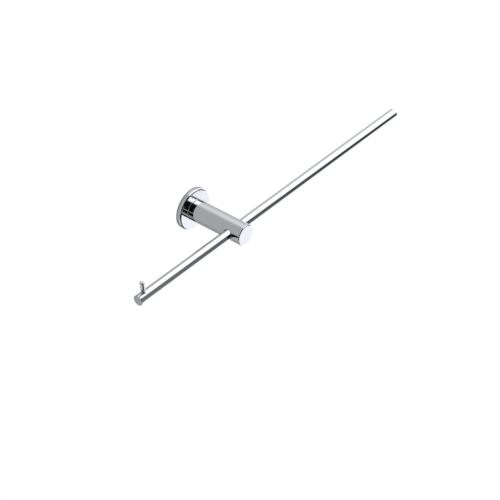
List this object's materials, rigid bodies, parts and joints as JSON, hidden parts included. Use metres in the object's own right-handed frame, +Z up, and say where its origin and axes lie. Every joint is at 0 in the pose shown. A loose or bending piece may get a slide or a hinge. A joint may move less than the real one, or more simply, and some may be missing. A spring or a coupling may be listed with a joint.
{
  "type": "wall-mounted paper towel holder",
  "caption": "Wall-mounted paper towel holder: round flange, short post, and one long crosswise rod with a small upright stop pin near its end.",
  "frame": {"origin": "centre of the wall plate's back face, on the wall plane", "axes": "+X along the rod towards its long right arm, +Y into the wall, +Z up"},
  "size_m": [0.455, 0.08, 0.05],
  "materials": {
    "polished_chrome": "mirror-polished chrome plating",
    "fixing_steel": "zinc-plated steel, satin",
    "black_steel": "black-oxide hardened steel, oiled",
    "brass_pad": "turned brass, dull"
  },
  "bodies": {
    "wall_mount": {"wall_plate": "fixing_steel"},
    "holder": {"flange": "polished_chrome", "post": "polished_chrome", "post_bolt": "fixing_steel", "post_lock_washer": "fixing_steel", "post_dowel": "fixing_steel"},
    "flange_screw": {"flange_grub_screw": "black_steel"},
    "clamp_pad": {"rod_clamp_pad": "brass_pad"},
    "clamp_screw": {"rod_clamp_screw": "black_steel"},
    "rod": {"rod_tube": "polished_chrome", "rod_end_cap_left": "polished_chrome", "rod_end_cap_right": "polished_chrome", "stop_pin": "polished_chrome"}
  },
  "joints": [
    {"name": "holder_lift_off", "type": "slide", "parent": "wall_mount", "child": "holder", "axis": [0, -1, 0], "range_m": [0, 0.012]},
    {"name": "flange_screw_turn", "type": "hinge", "parent": "holder", "child": "flange_screw", "pos_m": [0, -0.0026, -0.023], "axis": [0, 0, -1], "range_deg": [0, 720]},
    {"name": "rod_slide", "type": "slide", "parent": "holder", "child": "rod", "axis": [1, 0, 0], "range_m": [-0.287, 0.132]},
    {"name": "clamp_pad_travel", "type": "slide", "parent": "holder", "child": "clamp_pad", "axis": [0, 0, -1], "range_m": [0, 0.0016]},
    {"name": "clamp_screw_turn", "type": "hinge", "parent": "clamp_pad", "child": "clamp_screw", "pos_m": [0, -0.064, -0.0095], "axis": [0, 0, -1], "range_deg": [0, 720]}
  ],
  "couplings": [
    {"joint": "clamp_screw_turn", "follows": "clamp_pad_travel", "rad_per_m": 7853.9}
  ]
}
